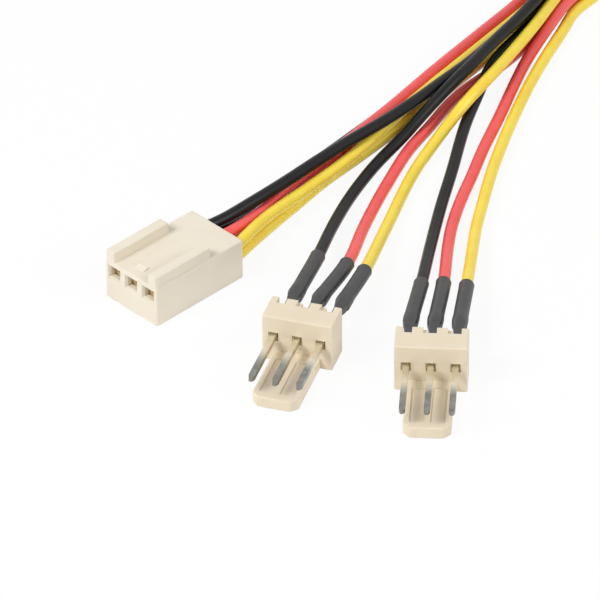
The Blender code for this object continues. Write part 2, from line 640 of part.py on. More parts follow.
def sleeve(name, path, length):
    """A shrunk tube: tight and squarish on the pin's tail, wide over the joint and the insulation."""
    neck = PIN_TAIL - SLEEVE_OFFSET
    wire_bore = WIRE_DIAMETER / 2 + SLEEVE_FIT
    wide = wire_bore + SLEEVE_WALL
    pin_bore = PIN_SIDE / 2 + PIN_FIT
    narrow = pin_bore + NECK_WALL
    calm = neck + BULGE_END
    halfway = (calm + length) / 2
    outer = (
        (0, narrow, 1), (neck - NECK_RELEASE, narrow, 1), (neck + FUNNEL_START, narrow + FUNNEL_STEP, 0.6),
        (neck + FUNNEL_END, wide, 0.2), (neck + BULGE_PLACE, wide + SLEEVE_BULGE, 0), (calm, wide, 0),
        (halfway, wide, 0), (length - LIP_LENGTH, wide, 0), (length - LIP_CREST, wide + LIP, 0),
        (length, wide - LIP, 0),
    )
    inner = (
        (length, wire_bore, 0), (halfway, wire_bore, 0), (calm, wire_bore, 0),
        (neck + BORE_END, wire_bore, 0), (neck + BORE_START, pin_bore + BORE_STEP, 0.6),
        (neck - NECK_RELEASE, pin_bore, 1), (0, pin_bore, 1),
    )
    rings = []
    for distance, radius, square in outer + inner:
        (frame,) = frames_along(path, (distance,))
        rings.append(ring(frame, radius, square, ROUND_SIDES))
    return finish(swept(name, rings, closed=True), "shrink_black")


def joint(name, path):
    """The bared conductor's end and its solder, between the pin's tail and the insulation."""
    start = PIN_TAIL - SLEEVE_OFFSET + JOINT_GAP
    rings = []
    for along, fullness in ((0, 0.4), (0.13, 0.75), (0.5, 1.0), (0.87, 0.9), (1.0, 0.6)):
        (frame,) = frames_along(path, (start + along * JOINT_LENGTH,))
        rings.append(ring(frame, fullness * JOINT_RADIUS, 0, JOINT_SIDES))
    return finish(swept(name, rings, closed=False), "solder")


def strand_pieces(strand):
    colour, plug = strand.split("_")
    path = strand_path(strand)
    run = run_of(path)
    top = np.array(TO_PLUG[strand][-1])
    length = run[-1] - run[np.linalg.norm(path - top, axis=1).argmin()]
    insulation = PIN_TAIL - SLEEVE_OFFSET + JOINT_LENGTH + 2 * JOINT_GAP
    wire(strand, piece_of(path, insulation, run[-1]))
    sleeve(f"plug_{plug}_sleeve_{colour}", path, length)
    joint(f"plug_{plug}_joint_{colour}", path)


def main():
    clear_scene()
    socket = empty_at("socket", SOCKET_POSE)
    socket_housing(socket)
    for colour in LANE:
        socket_terminal(colour, socket)
    for name, pose in (("plug_a", PLUG_A_POSE), ("plug_b", PLUG_B_POSE)):
        frame = empty_at(name, pose)
        plug_housing(name, frame)
        for colour in LANE:
            plug_pin(name, colour, frame)
    for strand in LANES:
        strand_pieces(strand)


main()
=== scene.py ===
"""Looks for the fan power cable: camera, light, wires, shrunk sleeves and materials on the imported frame."""

import math

import bmesh
import bpy
import numpy as np
from mathutils import Matrix, Vector, noise


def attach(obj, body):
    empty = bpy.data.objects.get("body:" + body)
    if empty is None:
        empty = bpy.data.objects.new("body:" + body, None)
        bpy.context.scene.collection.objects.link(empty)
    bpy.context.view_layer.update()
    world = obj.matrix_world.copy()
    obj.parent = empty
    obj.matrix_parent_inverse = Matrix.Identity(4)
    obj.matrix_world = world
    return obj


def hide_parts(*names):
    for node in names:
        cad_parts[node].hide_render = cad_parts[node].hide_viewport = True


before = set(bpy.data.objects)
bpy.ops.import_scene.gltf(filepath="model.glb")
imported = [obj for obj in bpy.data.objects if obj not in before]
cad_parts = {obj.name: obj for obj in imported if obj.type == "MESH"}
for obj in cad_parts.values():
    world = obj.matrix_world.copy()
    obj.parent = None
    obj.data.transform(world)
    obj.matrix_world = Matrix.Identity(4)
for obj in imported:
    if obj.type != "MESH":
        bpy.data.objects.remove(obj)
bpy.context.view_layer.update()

# Lengths below are in mm, in the frame's own axes, and MM turns them into metres
MM = 0.001

# Camera, fitted to the photograph
IMAGE_SIDE = 600
AIM = (13.17, -1.61, 0.0)
AZIMUTH, ELEVATION, ROLL = 4.17, 36.304, 0.563
DISTANCE = 787.5
FOCAL_PIXELS = 7571.5
SENSOR = 36.0
NEAREST, FURTHEST = 10, 20000

# Lamps: place, aim, width and depth, watts
LAMPS = {
    "key": ((-330, -250, 430), (15, 20, 0), (230, 230), 2.25),
    "fill": ((400, -190, 330), (15, 20, 0), (380, 300), 1.15),
    "streak": ((-330, 330, 330), (15, 30, 0), (180, 120), 0.30),
}
WORLD_LIGHT = 0.35

# Floor: half its side, its drop below the part, and the share of it that is seen as plain white
FLOOR_HALF = 3000
FLOOR_DROP = 0.02
FLOOR_GREY = 0.92
FLOOR_WHITE_SHARE = 0.92

# Sizes that the construction has too
PITCH = 2.54
LANE = {"black": -1, "red": 0, "yellow": 1}
SOCKET_POSE = (0.0, 0.0, -41.86)
PLUG_A_POSE = (13.63, -12.83, -13.65)
PLUG_B_POSE = (27.57, -16.60, 0.0)
SOCKET_LENGTH = 12.40
WIRE_DIAMETER = 1.30
WIRE_UPPER = 3.05
WIRE_LOWER = 1.65
WIRE_INSET = 2.90
PLUG_DEPTH = 3.62
PIN_LEVEL = 3.05
PIN_SIDE = 0.64
PIN_REACH = 7.84
PIN_TAIL = 2.98
PIN_FIT = 0.04
SLEEVE_OFFSET = 0.30
SLEEVE_WALL = 0.10
SLEEVE_BULGE = 0.06
SLEEVE_FIT = 0.05
NECK_WALL = 0.12
JOINT_LENGTH = 1.50
JOINT_GAP = 0.14
ROUTE_STEP = 0.35
FINE_STEP = 0.20
EASED_OVER = 4
TAIL_LEAD = 0.60
TAIL_SEAT = 0.80
FRAME_REACH = 0.20

LANE_STEP = 0.5
LANE_ROUNDING = 0.001
EASINGS = 2

# Fineness of the meshes
WIRE_SIDES = 24
WIRE_STEP = 0.7
SLEEVE_SIDES = 48
SLEEVE_STEP = 0.16

# Wires: their share of the full radius, and the unevenness on it with its scale along and around the wire
WIRE_FULLNESS = 0.994
WIRE_WOBBLE = 0.010
WOBBLE_ALONG, WOBBLE_AROUND = 0.35, 0.6
WIRE_SEED = 7.0

# Sleeves, in mm from the end of the tight stretch on the pin's tail: where the outside starts to widen, where
# it passes the funnel and by how much, and where it is wide, bulged and calm
SLEEVE_RELEASE = 0.6
FUNNEL_AT, FUNNEL_RISE = 0.2, 0.13
WIDE_AT, BULGE_AT, CALM_AT = 0.9, 1.7, 2.8
BORE_RELEASE = 0.5
BORE_STEP_AT, BORE_STEP_RISE = 0.3, 0.06
BORE_WIDE_AT = 1.2

# Sleeve's lip, in mm from its upper end: where it starts and is fullest, how far it stands out and tucks in
LIP_START, LIP_FULLEST = 0.45, 0.12
LIP_PROUD, LIP_TUCK = 0.025, 0.02

# How square and how creased a sleeve is: (mm from the end of the tight stretch, share), and at both ends
SQUARENESS = ((-0.5, 1.0), (0.9, 0.2), (1.7, 0.0))
SQUARE_POWER = 5
CREASES = ((-0.8, 0.35), (0.3, 1.0), (1.5, 0.5), (2.8, 0.16))
CREASE_AT_PLUG, CREASE_AT_TOP = 0.2, 0.08
CREASE_DEPTH = 0.045
FOLD_AROUND, FOLD_ALONG, FOLD_SHARE = 2.2, 0.45, 0.9
ROUGH_AROUND, ROUGH_ALONG, ROUGH_SHARE = 4, 2.2, 0.35
SLEEVE_SEED = 3.0

# Colours of the darker and the paler patches of each material
TINTS = {
    "cream_nylon": ((0.80, 0.725, 0.595), (0.835, 0.77, 0.645)),
    # The plugs' nylon: warmer than the socket's, and darker as painted shade for the plugs' shaded front
    # faces
    "warm_nylon_painted_shade": ((0.77, 0.665, 0.505), (0.81, 0.71, 0.55)),
    "insulation_black": ((0.007, 0.007, 0.008), (0.014, 0.014, 0.015)),
    "insulation_red": ((0.86, 0.075, 0.075), (0.95, 0.105, 0.105)),
    "insulation_yellow": ((0.93, 0.67, 0.040), (0.98, 0.79, 0.065)),
    "shrink_black": ((0.013, 0.011, 0.012), (0.026, 0.023, 0.024)),
    "contact_brass": ((0.84, 0.60, 0.24), (0.95, 0.74, 0.36)),
    "solder": ((0.52, 0.52, 0.52), (0.68, 0.68, 0.68)),
    # Painted reflection: the pin's root colour stands for the cream nylon housing reflected in it
    "pin_nylon_reflection": ((0.72, 0.67, 0.53), (0.80, 0.76, 0.63)),
    "pin_outer": ((0.20, 0.20, 0.18), (0.32, 0.32, 0.29)),
}

# Plain colours of the sleeves and the pins, where their nodes aren't used
PLAIN_SHRINK = (0.020, 0.017, 0.018)
PLAIN_PIN = (0.60, 0.58, 0.50)

# Shares of a pin's reach between which it turns from its root's colour, a painted reflection of the cream
# nylon, to its outer half's
PIN_REFLECTION_FADE = (0.38, 0.62)

# A colour mix node's sockets
MIX_FIRST, MIX_SECOND, MIX_RESULT = 6, 7, 2

# The socket strands' middle line on the table from the socket to the neck, then the loop beyond the neck and
# back down to it. Lanes lie beside this line, so the strands stay parallel.
STRAND_LINE = (
    (8.2, 12.6), (10.6, 16.1), (13.2, 19.8), (15.8, 23.3), (18.7, 27.4), (21.6, 31.6), (24.1, 35.6),
    (26.5, 39.4), (28.9, 43.2), (31.3, 47.0), (33.7, 50.8), (35.9, 54.8), (37.5, 58.4), (37.3, 62.8),
    (34.9, 66.8), (30.4, 69.4), (23.0, 70.0), (13.6, 69.8), (4.8, 73.0), (-1.8, 80.4), (-3.6, 90.0),
    (0.4, 99.4), (8.0, 105.6), (17.0, 107.6), (25.8, 106.0), (33.2, 101.6), (38.8, 95.2), (42.8, 87.6),
    (45.0, 79.6), (45.5, 71.8), (44.4, 64.4), (41.6, 58.0), (38.4, 53.3),
)
NECK = 11

# Heights of a strand's middle: on the table, on two others, on those, and on top of all
GROUND, SECOND, THIRD, FOURTH = 0.66, 1.87, 3.08, 4.33

# Each strand's way out of the socket, in the socket's frame: (x, distance behind the rear face, height)
FROM_SOCKET = {
    "black_a": ((-2.30, 0.8, 3.05), (-1.95, 2.2, 3.12), (-1.87, 5.0, 3.26)),
    "black_b": ((-2.50, 0.8, 1.65), (-2.35, 2.2, 1.60), (-2.15, 5.0, 1.20)),
    "red_b": ((0.05, 0.8, 3.05), (0.00, 2.2, 2.90), (-0.60, 5.0, 2.38)),
    "red_a": ((0.00, 0.8, 1.65), (-0.05, 2.2, 1.50), (-0.55, 5.0, 0.95)),
    "yellow_b": ((2.30, 0.8, 3.05), (1.90, 2.2, 3.05), (0.88, 5.0, 2.75)),
    "yellow_a": ((2.30, 0.8, 1.65), (1.85, 2.2, 1.62), (1.00, 5.0, 1.30)),
}

# Each strand's lane: (station along the line, distance to its right, height)
LANES = {
    "black_b": (
        (-11, -0.7, 0.8), (-10, -1.3, GROUND), (-9, -1.45, GROUND), (2, -1.45, GROUND), (3, -2.2, GROUND),
        (4, -3.0, GROUND), (13, -3.0, GROUND), (13.4, -2.9, 1.5), (13.7, -2.2, 2.1), (14, -1.6, 2.15),
        (14.8, 0, 2.15), (15.1, 0.8, 2.0), (15.5, 1.5, 1.0), (15.7, 1.5, GROUND), (18.6, 1.5, GROUND),
        (19, 1.45, GROUND), (19.5, 1.25, 1.3), (20, 0.73, SECOND), (21, 0.73, SECOND),
    ),
    "red_b": (
        (-11, 0.8, 2.0), (-10, 0.2, 2.02), (-9, 0.0, 2.02), (-8, 0.0, 2.02), (-7, -0.2, 2.0),
        (-6, -0.45, 1.95), (-5, -0.65, SECOND), (-4, -0.73, SECOND), (2, -0.73, SECOND), (2.5, -0.9, 1.8),
        (3, -1.1, 1.62), (4, -1.5, GROUND), (18, -1.5, GROUND), (18.5, -1.35, 1.3), (19, -0.8, SECOND),
        (20, -0.73, SECOND), (21, -0.73, SECOND),
    ),
    "red_a": ((-11, 0.7, GROUND), (-10, 0.1, GROUND), (-9, 0, GROUND), (21, 0, GROUND)),
    "yellow_b": (
        (-11, 2.25, 2.35), (-10, 2.2, 2.05), (-9, 2.2, 1.98), (-8, 2.0, 2.0), (-7, 1.5, 2.05), (-6, 0.9, 2.0),
        (-5, 0.73, SECOND), (2, 0.73, SECOND), (2.5, 0.9, 1.8),
        (3, 1.1, 1.62), (4, 1.5, GROUND), (10, 1.5, GROUND), (10.3, 1.4, 1.5), (10.6, 0.7, 2.1),
        (11, 0, 2.15), (11.6, -1.5, 2.15), (12.3, -3.0, 2.15), (12.6, -3.7, 2.1), (13, -4.4, 1.4),
        (13.4, -4.5, GROUND), (15.7, -4.5, GROUND), (16.6, -3.0, GROUND), (18, -3.0, GROUND),
        (18.5, -2.7, GROUND), (19, -1.6, GROUND), (20, -1.45, GROUND), (21, -1.45, GROUND),
    ),
    "yellow_a": (
        (-11, 2.2, 0.9), (-10, 1.8, GROUND), (-9, 1.45, GROUND), (2, 1.45, GROUND), (3, 2.2, GROUND),
        (4, 3.0, GROUND), (17, 3.0, GROUND), (17.6, 2.9, 1.7), (18, 2.2, 2.0), (18.4, 1.5, 2.15),
        (19, 0.8, 2.0), (19.5, 0.6, 2.65), (20, 0, THIRD), (21, 0, THIRD),
    ),
    "black_a": (
        (-11, 0.5, 3.42), (-10, 0.85, 3.42), (-9, 1.05, 3.4), (-8, 1.25, 3.4), (-7, 1.85, 3.4),
        (-6, 2.1, 3.3), (-5, 2.3, 3.2), (-4, 2.5, 3.1), (-3, 2.4, THIRD), (-2, 2.1, THIRD), (-1, 1.8, THIRD),
        (0, 1.6, THIRD), (1, 1.45, THIRD), (1.5, 2.1, 2.6), (2, 2.7, 1.7), (3, 4.2, GROUND),
        (4, 6.0, GROUND), (5, 7.0, GROUND), (6.5, 6.0, GROUND), (8, 4.5, GROUND), (17.5, 4.5, GROUND),
        (18, 4.2, 1.2), (18.5, 3.3, 2.4), (19, 2.3, 3.0), (20, 0.73, FOURTH), (21, 0.73, FOURTH),
    ),
}

# From the neck to each strand's sleeve, whose upper end is the last point
TO_PLUG = {
    "black_a": (
        (34.0, 45.7, 4.34), (31.5, 41.0, 4.35), (29.2, 36.3, 4.35), (28.0, 34.4, 4.1), (26.8, 32.8, 3.6),
        (25.6, 31.2, 3.0), (24.4, 29.6, 2.4), (23.2, 27.8, 1.8), (22.0, 25.9, 1.3), (20.2, 23.3, 0.75),
        (18.6, 19.7, 0.66), (17.1, 15.3, 0.8), (15.7, 9.1, 1.4), (14.8, 3.3, 2.3),
    ),
    "red_a": (
        (36.6, 49.2, 0.66), (34.0, 44.5, 0.66), (31.5, 40.6, 0.66), (29.2, 37.7, 0.66), (28.0, 35.9, 0.66),
        (26.8, 33.8, 0.66), (25.8, 31.4, 0.66), (24.6, 28.6, 0.66), (23.1, 25.4, 0.66), (21.4, 19.9, 0.66),
        (20.1, 15.0, 0.75), (19.0, 9.5, 1.2), (17.9, 1.9, 2.3),
    ),
    "yellow_a": (
        (35.9, 46.8, 3.1), (34.1, 42.4, 3.1), (31.7, 36.8, 3.2), (30.3, 33.9, 3.2), (29.4, 32.3, 3.0),
        (28.5, 31.3, 2.4), (26.9, 28.6, 1.5), (25.4, 25.4, 0.9), (24.0, 21.8, 0.66), (22.8, 17.1, 0.66),
        (21.8, 12.2, 0.8), (21.0, 7.8, 1.3), (19.8, 0.9, 2.3),
    ),
    "black_b": (
        (35.8, 49.2, 1.87), (34.0, 45.9, 1.9), (32.7, 43.2, 1.95), (31.5, 40.5, 2.1), (30.7, 37.9, 2.0),
        (30.1, 35.4, 1.5), (29.4, 32.7, 1.1), (28.8, 29.9, 0.8), (28.3, 26.0, 0.66), (27.8, 21.3, 0.66),
        (27.1, 16.0, 0.66), (26.6, 11.1, 0.8), (26.2, 5.8, 1.3), (25.8, -1.2, 2.4),
    ),
    "red_b": (
        (37.7, 49.5, 1.85), (36.3, 46.0, 1.5), (34.9, 42.7, 0.8), (33.6, 37.5, 0.66), (32.4, 31.9, 0.66),
        (30.9, 25.6, 0.66), (30.0, 20.8, 0.66), (29.0, 16.1, 0.66), (28.3, 11.2, 0.8), (28.1, 5.9, 1.3),
        (28.1, -0.7, 2.3),
    ),
    "yellow_b": (
        (38.8, 49.4, 0.66), (37.0, 43.9, 0.66), (35.3, 37.9, 0.66), (33.9, 31.8, 0.66), (32.8, 26.2, 0.66),
        (31.9, 20.6, 0.66), (31.4, 16.2, 0.66), (30.9, 11.4, 0.8), (30.7, 6.1, 1.3), (30.5, -1.1, 2.3),
    ),
}
UPPER_STRANDS = {"black_a", "red_b", "yellow_b"}


def in_world(pose, x, y, z):
    """A connector's own point in the frame's axes."""
    px, py, yaw = pose[0], pose[1], math.radians(pose[2])
    return (px + x * math.cos(yaw) - y * math.sin(yaw), py + x * math.sin(yaw) + y * math.cos(yaw), z)


def line_at(station):
    """The strand line's place and way at a station, counted from the neck."""
    at = station + NECK
    i = min(max(int(math.floor(at)), 0), len(STRAND_LINE) - 2)
    t = at - i
    picks = [min(max(j, 0), len(STRAND_LINE) - 1) for j in range(i - 1, i + 3)]
    a, b, c, d = (np.array(STRAND_LINE[j]) for j in picks)
    p, q, r = c - a, 2 * a - 5 * b + 4 * c - d, 3 * b - a - 3 * c + d
    way = 0.5 * (p + 2 * q * t + 3 * r * t * t)
    return b + 0.5 * (p * t + q * t * t + r * t**3), way / np.linalg.norm(way)


def lane_points(keys):
    """Points along a strand's lane beside the strand line."""
    stations, beside, heights = (np.array(column, float) for column in zip(*keys))
    points = []
    for station in np.arange(stations[0], stations[-1] + LANE_ROUNDING, LANE_STEP):
        place, way = line_at(station)
        right = np.interp(station, stations, beside)
        x, y = place[0] + right * way[1], place[1] - right * way[0]
        points.append((x, y, np.interp(station, stations, heights)))
    return points


def smooth_curve(points):
    """A centripetal curve through the points, evenly sampled, with its corners eased."""
    p = np.array(points, float)
    p = np.vstack([2 * p[0] - p[1], p, 2 * p[-1] - p[-2]])
    out = []
    for i in range(1, len(p) - 2):
        quad = p[i - 1 : i + 3]
        t = np.concatenate([[0], np.cumsum(np.sqrt(np.linalg.norm(np.diff(quad, axis=0), axis=1)))])
        count = max(2, math.ceil(np.linalg.norm(quad[2] - quad[1]) / FINE_STEP))
        for x in np.linspace(t[1], t[2], count, endpoint=False):
            rows, gap = list(quad), 1
            while len(rows) > 1:
                # The last blend runs over the middle pair, the others over their own reach
                reach = [(t[k], t[k + gap]) for k in range(len(rows) - 1)]
                if len(rows) == 2:
                    reach = [(t[1], t[2])]
                shares = [(x - a) / (b - a) for a, b in reach]
                rows = [(1 - share) * rows[k] + share * rows[k + 1] for k, share in enumerate(shares)]
                gap += 1
            out.append(rows[0])
    out = np.array([*out, p[-2]])
    half = EASED_OVER
    for _ in range(EASINGS):
        run = run_of(out)
        at = np.linspace(0, run[-1], int(run[-1] / ROUTE_STEP) + 1)
        out = np.stack([np.interp(at, run, out[:, k]) for k in range(3)], axis=1)
        padded = np.vstack([2 * out[0] - out[half:0:-1], out, 2 * out[-1] - out[-2 : -half - 2 : -1]])
        kernel = np.ones(2 * half + 1) / (2 * half + 1)
        out = np.stack([np.convolve(padded[:, k], kernel, "valid") for k in range(3)], axis=1)
    out[:, 2] = np.maximum(out[:, 2], GROUND)
    return out


def run_of(path):
    """The distance along a path at each of its points."""
    return np.concatenate([[0], np.cumsum(np.linalg.norm(np.diff(path, axis=0), axis=1))])


def strand_path(strand):
    """The strand's middle from inside the socket to the pin's tail behind its plug's rear face."""
    colour, plug = strand.split("_")
    level = WIRE_UPPER if strand in UPPER_STRANDS else WIRE_LOWER
    x = LANE[colour] * PITCH
    rear = SOCKET_LENGTH / 2
    start = [in_world(SOCKET_POSE, x, y, level) for y in (rear - WIRE_INSET, rear - WIRE_INSET / 2, rear)]
    start += [in_world(SOCKET_POSE, x, rear + behind, z) for x, behind, z in FROM_SOCKET[strand]]
    pose = PLUG_A_POSE if plug == "a" else PLUG_B_POSE
    end = PLUG_DEPTH + PIN_TAIL
    seats = (end + TAIL_LEAD, end - TAIL_SEAT, PLUG_DEPTH + SLEEVE_OFFSET)
    tail = [in_world(pose, x, y, PIN_LEVEL) for y in seats]
    return smooth_curve([*start, *lane_points(LANES[strand]), *TO_PLUG[strand], *tail])


def piece_of(path, first, last):
    """The part of a path between two distances from its far end, the one at the plug."""
    run = run_of(path)[-1] - run_of(path)
    keep = (run < last) & (run > first)
    ends = [[np.interp(-d, -run, path[:, k]) for k in range(3)] for d in (last, first)]
    return np.vstack([ends[0], path[keep], ends[1]])


def resampled(path, step):
    """The path with evenly spaced points, about a step apart."""
    run = run_of(path)
    at = np.linspace(0, run[-1], max(2, round(run[-1] / step)))
    return np.stack([np.interp(at, run, path[:, k]) for k in range(3)], axis=1)


def side_and_up(way):
    side = np.cross(way, (0, 0, 1))
    side /= np.linalg.norm(side)
    return side, np.cross(side, way)


def frame_at(path, distance):
    """Place, side and up at a distance from the path's plug end."""
    run = run_of(path)[-1] - run_of(path)
    a, b, c = (
        np.array([np.interp(-x, -run, path[:, k]) for k in range(3)])
        for x in (distance - FRAME_REACH, distance, distance + FRAME_REACH)
    )
    return b, *side_and_up((c - a) / np.linalg.norm(c - a))


def tube_mesh(name, rings, marks, closed=False):
    """A mesh through rings of points, with a UV map: distance along it, and share of a turn around it."""
    bm = bmesh.new()
    layer = bm.loops.layers.uv.new("along")
    made = [[bm.verts.new(Vector(p) * MM) for p in points] for points in rings]
    count = len(made[0])
    pairs = list(zip(range(len(made)), range(1, len(made))))
    if closed:
        pairs.append((len(made) - 1, 0))
    for i, j in pairs:
        for k in range(count):
            n = (k + 1) % count
            face = bm.faces.new((made[i][k], made[i][n], made[j][n], made[j][k]))
            face.smooth = True
            spots = ((marks[i], k), (marks[i], k + 1), (marks[j], k + 1), (marks[j], k))
            for loop, (mark, turn) in zip(face.loops, spots):
                loop[layer].uv = (mark, turn / count)
    if not closed:
        bm.faces.new(made[0][::-1])
        bm.faces.new(made[-1])
    bmesh.ops.recalc_face_normals(bm, faces=bm.faces)
    mesh = bpy.data.meshes.new(name)
    bm.to_mesh(mesh)
    bm.free()
    made = bpy.data.objects.new(name, mesh)
    bpy.context.scene.collection.objects.link(made)
    return made


def wire_mesh(name, path, seed):
    """Extruded insulation: round, with a faint unevenness along it."""
    points = resampled(path, WIRE_STEP)
    run = run_of(points)
    rings = []
    for place, way, distance in zip(points, np.gradient(points, axis=0), run):
        side, up = side_and_up(way / np.linalg.norm(way))
        ring = []
        for k in range(WIRE_SIDES):
            angle = 2 * math.pi * k / WIRE_SIDES
            c, s = math.cos(angle), math.sin(angle)
            wobble = noise.noise((distance * WOBBLE_ALONG, c * WOBBLE_AROUND + seed, s * WOBBLE_AROUND))
            radius = WIRE_DIAMETER / 2 * (WIRE_FULLNESS + WIRE_WOBBLE * wobble)
            ring.append(place + radius * (c * side + s * up))
        rings.append(ring)
    return tube_mesh(name, rings, run)


def eased(x, keys):
    """A value between keys of (x, value), eased at each."""
    for (a, first), (b, second) in zip(keys, keys[1:]):
        if x <= b:
            t = min(max((x - a) / (b - a), 0), 1)
            return first + (second - first) * t * t * (3 - 2 * t)
    return keys[-1][1]


def sleeve_mesh(name, path, length, seed):
    """Shrunk tube: tight and squarish on the pin's tail, bulged at the joint, creased between them."""
    neck = PIN_TAIL - SLEEVE_OFFSET
    bore = WIRE_DIAMETER / 2 + SLEEVE_FIT
    wide = bore + SLEEVE_WALL
    pin_bore = PIN_SIDE / 2 + PIN_FIT
    narrow = pin_bore + NECK_WALL
    outer = (
        (0, narrow), (neck - SLEEVE_RELEASE, narrow), (neck + FUNNEL_AT, narrow + FUNNEL_RISE),
        (neck + WIDE_AT, wide), (neck + BULGE_AT, wide + SLEEVE_BULGE), (neck + CALM_AT, wide),
        (length - LIP_START, wide), (length - LIP_FULLEST, wide + LIP_PROUD), (length, wide - LIP_TUCK),
    )
    inner = (
        (0, pin_bore), (neck - BORE_RELEASE, pin_bore), (neck + BORE_STEP_AT, pin_bore + BORE_STEP_RISE),
        (neck + BORE_WIDE_AT, bore), (length, bore),
    )
    square = ((0, 1.0), *((neck + d, share) for d, share in SQUARENESS), (length, 0.0))
    crease = (
        (0, CREASE_AT_PLUG), *((neck + d, share) for d, share in CREASES), (length, CREASE_AT_TOP),
    )
    steps = int(length / SLEEVE_STEP)
    along = [length * i / steps for i in range(steps + 1)]
    rings, marks = [], []
    for inside in (False, True):
        for distance in reversed(along) if inside else along:
            place, side, up = frame_at(path, distance)
            base = eased(distance, inner if inside else outer)
            power = 2 / (2 + SQUARE_POWER * eased(distance, square))
            depth = 0.0 if inside else CREASE_DEPTH * eased(distance, crease)
            ring = []
            for k in range(SLEEVE_SIDES):
                angle = 2 * math.pi * (k + 0.5) / SLEEVE_SIDES
                c, s = math.cos(angle), math.sin(angle)
                x, y = (math.copysign(abs(v) ** power, v) for v in (c, s))
                fold = noise.noise((c * FOLD_AROUND + seed, s * FOLD_AROUND, distance * FOLD_ALONG))
                rough = noise.noise((c * ROUGH_AROUND + seed, s * ROUGH_AROUND, distance * ROUGH_ALONG))
                radius = base + depth * (fold * FOLD_SHARE + rough * ROUGH_SHARE)
                ring.append(place + radius * (x * side + y * up))
            rings.append(ring)
            marks.append(distance)
    return tube_mesh(name, rings, marks, closed=True)


class Look:
    """A Principled material and short calls for its nodes."""

    def __init__(self, name, colour, roughness, **values):
        self.material = bpy.data.materials.new(name)
        self.material.use_nodes = True
        self.tree = self.material.node_tree
        self.shader = self.tree.nodes["Principled BSDF"]
        self.set("Base Color", (*colour, 1))
        self.set("Roughness", roughness)
        for key, value in values.items():
            self.set(key.replace("_", " "), value)

    def set(self, socket, value):
        self.shader.inputs[socket].default_value = value

    def node(self, kind, **inputs):
        made = self.tree.nodes.new(kind)
        for key, value in inputs.items():
            made.inputs[key.replace("_", " ")].default_value = value
        return made

    def link(self, source, target):
        self.tree.links.new(source, target)

    def drive(self, socket, source):
        self.link(source, self.shader.inputs[socket])

    def place(self, scale=(1, 1, 1), kind="Object"):
        """Object coordinates in mm, or a tube's own distance and turn."""
        coords = self.node("ShaderNodeTexCoord")
        mapping = self.node("ShaderNodeMapping")
        factor = 1 if kind == "UV" else 1 / MM
        mapping.inputs["Scale"].default_value = [factor * s for s in scale]
        self.link(coords.outputs[kind], mapping.inputs["Vector"])
        return mapping.outputs["Vector"]

    def noise(self, vector, scale, detail=3.0, roughness=0.55):
        made = self.node("ShaderNodeTexNoise", Scale=scale, Detail=detail, Roughness=roughness)
        self.link(vector, made.inputs["Vector"])
        return made.outputs["Fac"]

    def ramp(self, factor, stops):
        made = self.node("ShaderNodeValToRGB")
        elements = made.color_ramp.elements
        while len(elements) < len(stops):
            elements.new(0.5)
        for element, (place, colour) in zip(elements, stops):
            element.position = place
            element.color = (*colour, 1)
        self.link(factor, made.inputs["Fac"])
        return made.outputs["Color"]

    def range(self, factor, low, high, start=0.0, end=1.0):
        made = self.node("ShaderNodeMapRange")
        made.inputs["From Min"].default_value = start
        made.inputs["From Max"].default_value = end
        made.inputs["To Min"].default_value = low
        made.inputs["To Max"].default_value = high
        self.link(factor, made.inputs["Value"])
        return made.outputs["Result"]

    def maths(self, operation, *values):
        made = self.node("ShaderNodeMath")
        made.operation = operation
        for socket, value in zip(made.inputs, values):
            if isinstance(value, (int, float)):
                socket.default_value = value
            else:
                self.link(value, socket)
        return made.outputs[0]

    def mix(self, factor, first, second):
        """A colour between two colour outputs."""
        made = self.node("ShaderNodeMix")
        made.data_type = "RGBA"
        self.link(factor, made.inputs["Factor"])
        self.link(first, made.inputs[MIX_FIRST])
        self.link(second, made.inputs[MIX_SECOND])
        return made.outputs[MIX_RESULT]

    def bump(self, height, strength, distance):
        made = self.node("ShaderNodeBump", Strength=strength, Distance=distance * MM)
        self.link(height, made.inputs["Height"])
        self.drive("Normal", made.outputs["Normal"])


def nylon(name):
    """Moulded cream nylon: faintly clouded, with a fine grain and flow marks."""
    low, high = TINTS[name]
    look = Look(name, high, 0.42, Subsurface_Weight=0.10, Subsurface_Scale=0.0010)
    look.set("Subsurface Radius", (1.0, 0.75, 0.5))
    where = look.place()
    look.drive("Base Color", look.ramp(look.noise(where, 0.22, 2.0), ((0.3, low), (0.7, high))))
    look.drive("Roughness", look.range(look.noise(where, 1.6, 4.0), 0.36, 0.50))
    fine = look.noise(where, 7.0, 3.0)
    flow = look.noise(look.place((0.35, 0.9, 0.35)), 1.2, 3.0)
    look.bump(look.maths("ADD", look.maths("MULTIPLY", fine, 0.35), flow), 0.10, 0.05)
    return look.material


def insulation(name, roughness, **values):
    """Extruded wire insulation: clouded colour, fine draw lines along it and small pits."""
    low, high = TINTS[name]
    look = Look(name, high, roughness, **values)
    where = look.place()
    look.drive("Base Color", look.ramp(look.noise(where, 0.35, 3.0), ((0.30, low), (0.72, high))))
    look.drive("Roughness", look.range(look.noise(where, 2.5, 4.0), roughness - 0.06, roughness + 0.09))
    draw = look.noise(look.place((0.06, 9.0, 1.0), "UV"), 1.0, 3.0)
    pits = look.noise(where, 2.0, 2.0)
    look.bump(look.maths("ADD", look.maths("MULTIPLY", draw, 0.4), pits), 0.06, 0.05)
    return look.material


def shrink():
    """Shrunk sleeve: charcoal, half matt, with fine wrinkles around it."""
    low, high = TINTS["shrink_black"]
    look = Look("shrink_black", PLAIN_SHRINK, 0.42, Specular_IOR_Level=0.85)
    where = look.place()
    look.drive("Base Color", look.ramp(look.noise(where, 0.8, 4.0), ((0.30, low), (0.75, high))))
    look.drive("Roughness", look.range(look.noise(where, 2.2, 4.0), 0.38, 0.58))
    wrinkle = look.noise(look.place((1.6, 5.0, 1.0), "UV"), 1.0, 4.0)
    grain = look.noise(where, 6.0, 3.0)
    look.bump(look.maths("ADD", wrinkle, look.maths("MULTIPLY", grain, 0.4)), 0.22, 0.06)
    return look.material


